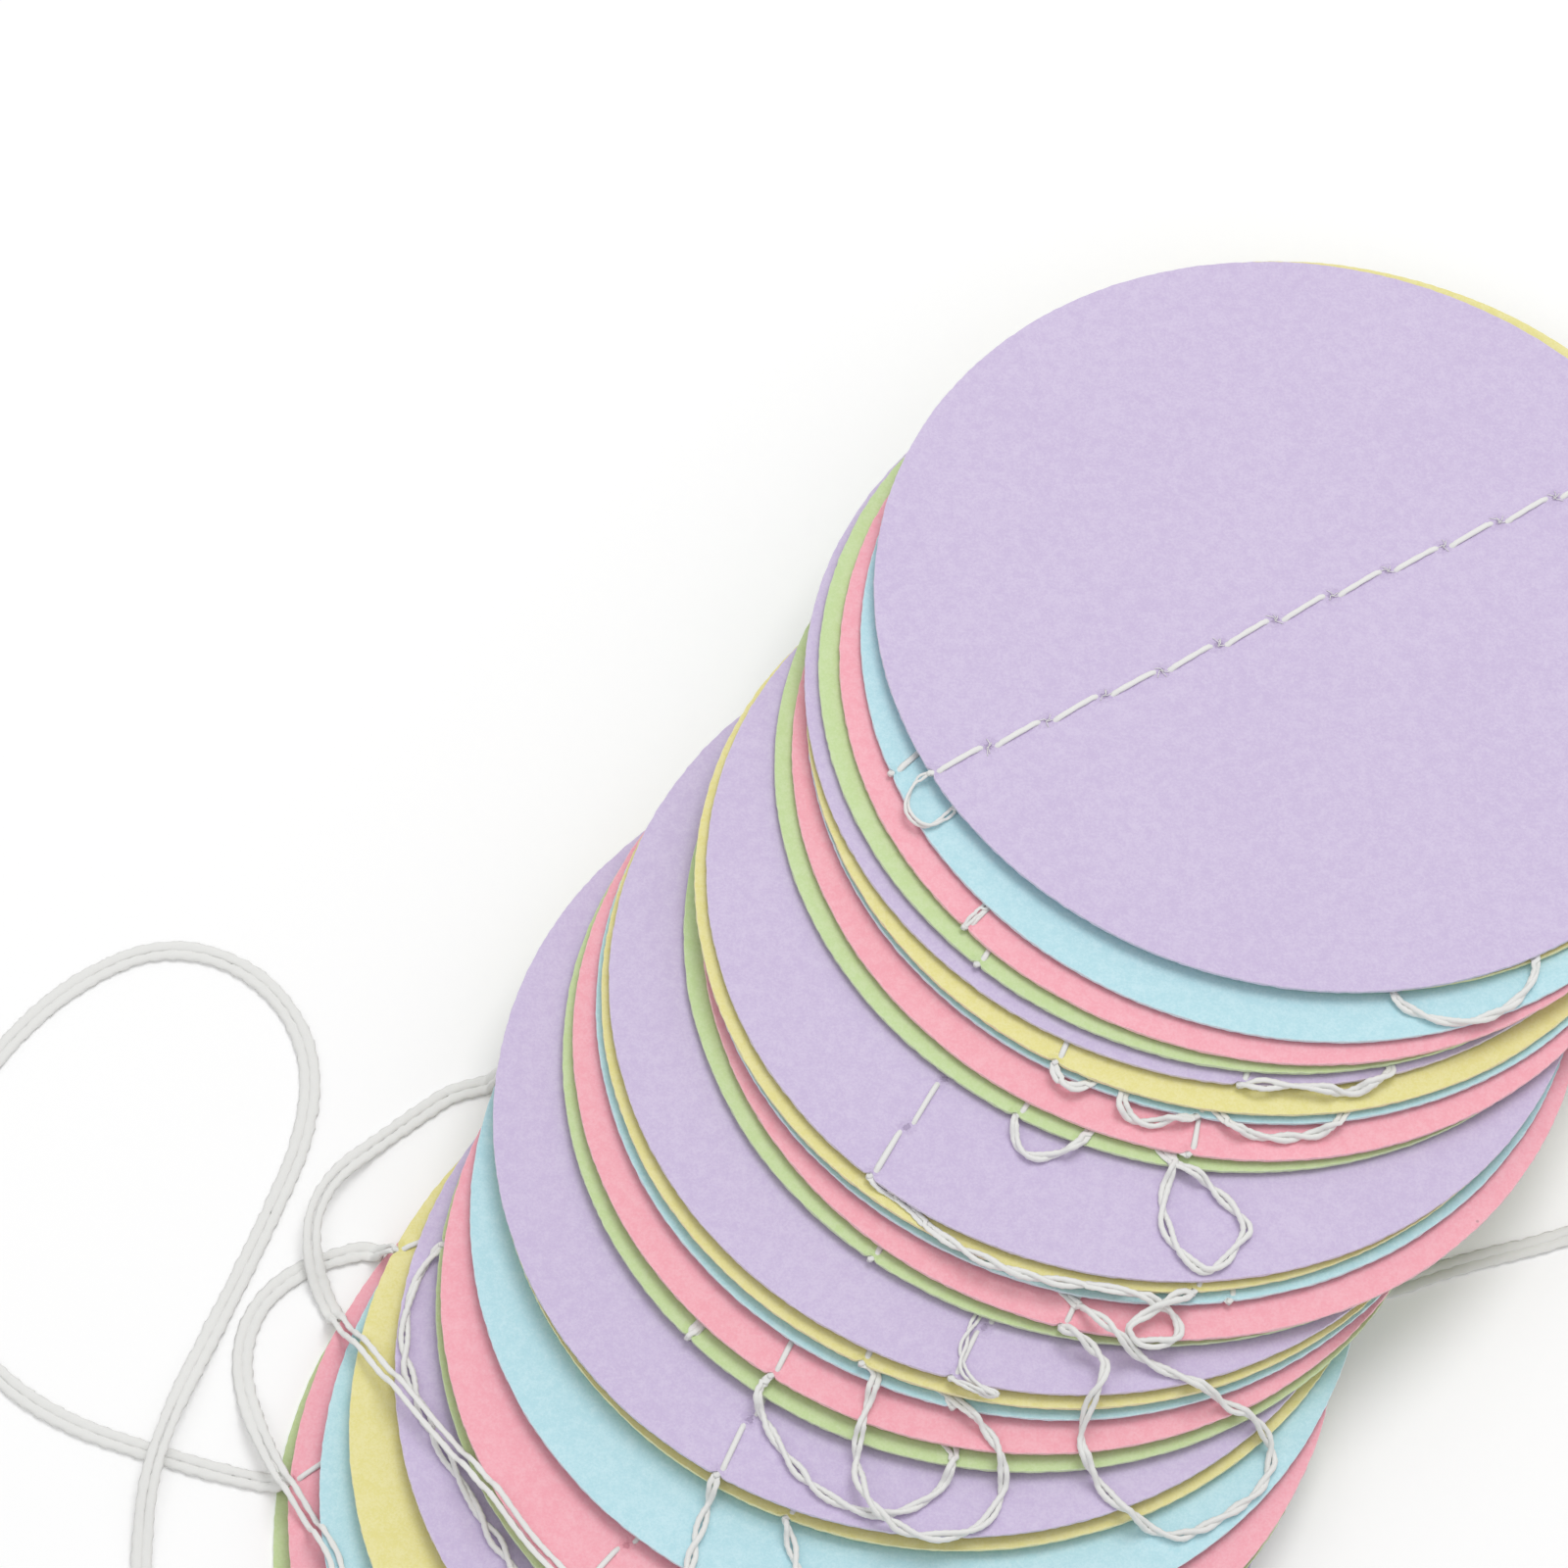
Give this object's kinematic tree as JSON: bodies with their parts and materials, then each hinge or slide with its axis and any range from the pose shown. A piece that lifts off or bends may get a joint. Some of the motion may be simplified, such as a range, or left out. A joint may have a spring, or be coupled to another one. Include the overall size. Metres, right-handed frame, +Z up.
{
  "type": "paper circle garland",
  "caption": "Paper circle garland gathered in a shingled pile: thin pastel card circles sewn one after another on a loose two-strand thread.",
  "frame": {"origin": "on the table, below the middle of the card circles' bounding box", "axes": "+Z up, +Y away from the viewer of the picture, +X to the viewer's right; the pile steps from near left up to far right"},
  "size_m": [0.1299, 0.1229, 0.0162],
  "materials": {
    "lilac_card": "matte",
    "yellow_card": "matte",
    "aqua_card": "matte",
    "pink_card": "matte",
    "green_card": "matte",
    "thread": "matte"
  },
  "bodies": {
    "circle_01": {"disc_01_lilac": "lilac_card", "thread_01": "thread"},
    "circle_02": {"disc_02_yellow": "yellow_card", "thread_02": "thread"},
    "circle_03": {"disc_03_aqua": "aqua_card", "thread_03": "thread"},
    "circle_04": {"disc_04_pink": "pink_card", "thread_04": "thread"},
    "circle_05": {"disc_05_green": "green_card", "thread_05": "thread"},
    "circle_06": {"disc_06_lilac": "lilac_card", "thread_06": "thread"},
    "circle_07": {"disc_07_yellow": "yellow_card", "thread_07": "thread"},
    "circle_08": {"disc_08_aqua": "aqua_card", "thread_08": "thread"},
    "circle_09": {"disc_09_pink": "pink_card", "thread_09": "thread"},
    "circle_10": {"disc_10_green": "green_card", "thread_10": "thread"},
    "circle_11": {"disc_11_lilac": "lilac_card", "thread_11": "thread"},
    "circle_12": {"disc_12_yellow": "yellow_card", "thread_12": "thread"},
    "circle_13": {"disc_13_aqua": "aqua_card", "thread_13": "thread"},
    "circle_14": {"disc_14_pink": "pink_card", "thread_14": "thread"},
    "circle_15": {"disc_15_green": "green_card", "thread_15": "thread"},
    "circle_16": {"disc_16_lilac": "lilac_card", "thread_16": "thread"},
    "circle_17": {"disc_17_yellow": "yellow_card", "thread_17": "thread"},
    "circle_18": {"disc_18_aqua": "aqua_card", "thread_18": "thread"},
    "circle_19": {"disc_19_pink": "pink_card", "thread_19": "thread"},
    "circle_20": {"disc_20_green": "green_card", "thread_20": "thread"},
    "circle_21": {"disc_21_lilac": "lilac_card", "thread_21": "thread"},
    "circle_22": {"disc_22_yellow": "yellow_card", "thread_22": "thread"},
    "circle_23": {"disc_23_aqua": "aqua_card", "thread_23": "thread"},
    "circle_24": {"disc_24_pink": "pink_card", "thread_24": "thread"},
    "circle_25": {"disc_25_green": "green_card", "thread_25": "thread"},
    "circle_26": {"disc_26_lilac": "lilac_card", "thread_26": "thread"},
    "circle_27": {"disc_27_yellow": "yellow_card", "thread_27": "thread"},
    "circle_28": {"disc_28_aqua": "aqua_card", "thread_28": "thread"},
    "circle_29": {"disc_29_pink": "pink_card", "thread_29": "thread"},
    "circle_30": {"disc_30_green": "green_card", "thread_30": "thread"}
  },
  "joints": [
    {"name": "fold_29_30_near", "type": "hinge", "parent": "circle_30", "child": "circle_29", "pos_m": [-0.03664, -0.05462, 0.00171], "axis": [0.8192, -0.5736, 0], "range_deg": [0, 30], "deforming": ["thread_29"]},
    {"name": "fold_28_29_far", "type": "hinge", "parent": "circle_29", "child": "circle_28", "pos_m": [0.03697, 0.0573, 0], "axis": [-0.8192, 0.5736, 0], "range_deg": [0, 30], "deforming": ["thread_28"]},
    {"name": "fold_27_28_near", "type": "hinge", "parent": "circle_28", "child": "circle_27", "pos_m": [-0.03261, -0.04939, 0.0045], "axis": [0.8192, -0.5736, 0], "range_deg": [0, 30], "deforming": ["thread_27"]},
    {"name": "fold_26_27_far", "type": "hinge", "parent": "circle_27", "child": "circle_26", "pos_m": [0.03697, 0.0573, 0], "axis": [-0.8192, 0.5736, 0], "range_deg": [0, 30], "deforming": ["thread_26"]},
    {"name": "fold_25_26_near", "type": "hinge", "parent": "circle_26", "child": "circle_25", "pos_m": [-0.02693, -0.04128, 0.00643], "axis": [0.8192, -0.5736, 0], "range_deg": [0, 30], "deforming": ["thread_25"]},
    {"name": "fold_24_25_far", "type": "hinge", "parent": "circle_25", "child": "circle_24", "pos_m": [0.03697, 0.0573, 0], "axis": [-0.8192, 0.5736, 0], "range_deg": [0, 30], "deforming": ["thread_24"]},
    {"name": "fold_23_24_near", "type": "hinge", "parent": "circle_24", "child": "circle_23", "pos_m": [-0.02471, -0.0355, 0.00816], "axis": [0.8192, -0.5736, 0], "range_deg": [0, 30], "deforming": ["thread_23"]},
    {"name": "fold_22_23_far", "type": "hinge", "parent": "circle_23", "child": "circle_22", "pos_m": [0.03697, 0.0573, 0], "axis": [-0.8192, 0.5736, 0], "range_deg": [0, 30], "deforming": ["thread_22"]},
    {"name": "fold_21_22_near", "type": "hinge", "parent": "circle_22", "child": "circle_21", "pos_m": [-0.02324, -0.02921, 0.00954], "axis": [0.8192, -0.5736, 0], "range_deg": [0, 30], "deforming": ["thread_21"]},
    {"name": "fold_20_21_far", "type": "hinge", "parent": "circle_21", "child": "circle_20", "pos_m": [0.03697, 0.0573, 0], "axis": [-0.8192, 0.5736, 0], "range_deg": [0, 30], "deforming": ["thread_20"]},
    {"name": "fold_19_20_near", "type": "hinge", "parent": "circle_20", "child": "circle_19", "pos_m": [-0.01795, -0.02376, 0.01041], "axis": [0.8192, -0.5736, 0], "range_deg": [0, 30], "deforming": ["thread_19"]},
    {"name": "fold_18_19_far", "type": "hinge", "parent": "circle_19", "child": "circle_18", "pos_m": [0.03697, 0.0573, 0], "axis": [-0.8192, 0.5736, 0], "range_deg": [0, 30], "deforming": ["thread_18"]},
    {"name": "fold_17_18_near", "type": "hinge", "parent": "circle_18", "child": "circle_17", "pos_m": [-0.01606, -0.02105, 0.01162], "axis": [0.8192, -0.5736, 0], "range_deg": [0, 30], "deforming": ["thread_17"]},
    {"name": "fold_16_17_far", "type": "hinge", "parent": "circle_17", "child": "circle_16", "pos_m": [0.03697, 0.0573, 0], "axis": [-0.8192, 0.5736, 0], "range_deg": [0, 30], "deforming": ["thread_16"]},
    {"name": "fold_15_16_near", "type": "hinge", "parent": "circle_16", "child": "circle_15", "pos_m": [-0.01056, -0.01685, 0.01213], "axis": [0.8192, -0.5736, 0], "range_deg": [0, 30], "deforming": ["thread_15"]},
    {"name": "fold_14_15_far", "type": "hinge", "parent": "circle_15", "child": "circle_14", "pos_m": [0.03697, 0.0573, 0], "axis": [-0.8192, 0.5736, 0], "range_deg": [0, 30], "deforming": ["thread_14"]},
    {"name": "fold_13_14_near", "type": "hinge", "parent": "circle_14", "child": "circle_13", "pos_m": [-0.0095, -0.0143, 0.01312], "axis": [0.8192, -0.5736, 0], "range_deg": [0, 30], "deforming": ["thread_13"]},
    {"name": "fold_12_13_far", "type": "hinge", "parent": "circle_13", "child": "circle_12", "pos_m": [0.03697, 0.0573, 0], "axis": [-0.8192, 0.5736, 0], "range_deg": [0, 30], "deforming": ["thread_12"]},
    {"name": "fold_11_12_near", "type": "hinge", "parent": "circle_12", "child": "circle_11", "pos_m": [-0.00906, -0.01314, 0.01427], "axis": [0.8192, -0.5736, 0], "range_deg": [0, 30], "deforming": ["thread_11"]},
    {"name": "fold_10_11_far", "type": "hinge", "parent": "circle_11", "child": "circle_10", "pos_m": [0.03697, 0.0573, 0], "axis": [-0.8192, 0.5736, 0], "range_deg": [0, 30], "deforming": ["thread_10"]},
    {"name": "fold_09_10_near", "type": "hinge", "parent": "circle_10", "child": "circle_09", "pos_m": [-0.00328, -0.00437, 0.01371], "axis": [0.8192, -0.5736, 0], "range_deg": [0, 30], "deforming": ["thread_09"]},
    {"name": "fold_08_09_far", "type": "hinge", "parent": "circle_09", "child": "circle_08", "pos_m": [0.03697, 0.0573, 0], "axis": [-0.8192, 0.5736, 0], "range_deg": [0, 30], "deforming": ["thread_08"]},
    {"name": "fold_07_08_near", "type": "hinge", "parent": "circle_08", "child": "circle_07", "pos_m": [-0.0023, -0.00139, 0.01439], "axis": [0.8192, -0.5736, 0], "range_deg": [0, 30], "deforming": ["thread_07"]},
    {"name": "fold_06_07_far", "type": "hinge", "parent": "circle_07", "child": "circle_06", "pos_m": [0.03697, 0.0573, 0], "axis": [-0.8192, 0.5736, 0], "range_deg": [0, 30], "deforming": ["thread_06"]},
    {"name": "fold_05_06_near", "type": "hinge", "parent": "circle_06", "child": "circle_05", "pos_m": [-0.00148, 0.00133, 0.01508], "axis": [0.8192, -0.5736, 0], "range_deg": [0, 30], "deforming": ["thread_05"]},
    {"name": "fold_04_05_far", "type": "hinge", "parent": "circle_05", "child": "circle_04", "pos_m": [0.03697, 0.0573, 0], "axis": [-0.8192, 0.5736, 0], "range_deg": [0, 30], "deforming": ["thread_04"]},
    {"name": "fold_03_04_near", "type": "hinge", "parent": "circle_04", "child": "circle_03", "pos_m": [0.00139, 0.00335, 0.01561], "axis": [0.8192, -0.5736, 0], "range_deg": [0, 30], "deforming": ["thread_03"]},
    {"name": "fold_02_03_far", "type": "hinge", "parent": "circle_03", "child": "circle_02", "pos_m": [0.03697, 0.0573, 0], "axis": [-0.8192, 0.5736, 0], "range_deg": [0, 30], "deforming": ["thread_02"]},
    {"name": "fold_01_02_near", "type": "hinge", "parent": "circle_02", "child": "circle_01", "pos_m": [0.0023, 0.00674, 0.0161], "axis": [0.8192, -0.5736, 0], "range_deg": [0, 30], "deforming": ["thread_01"]}
  ]
}
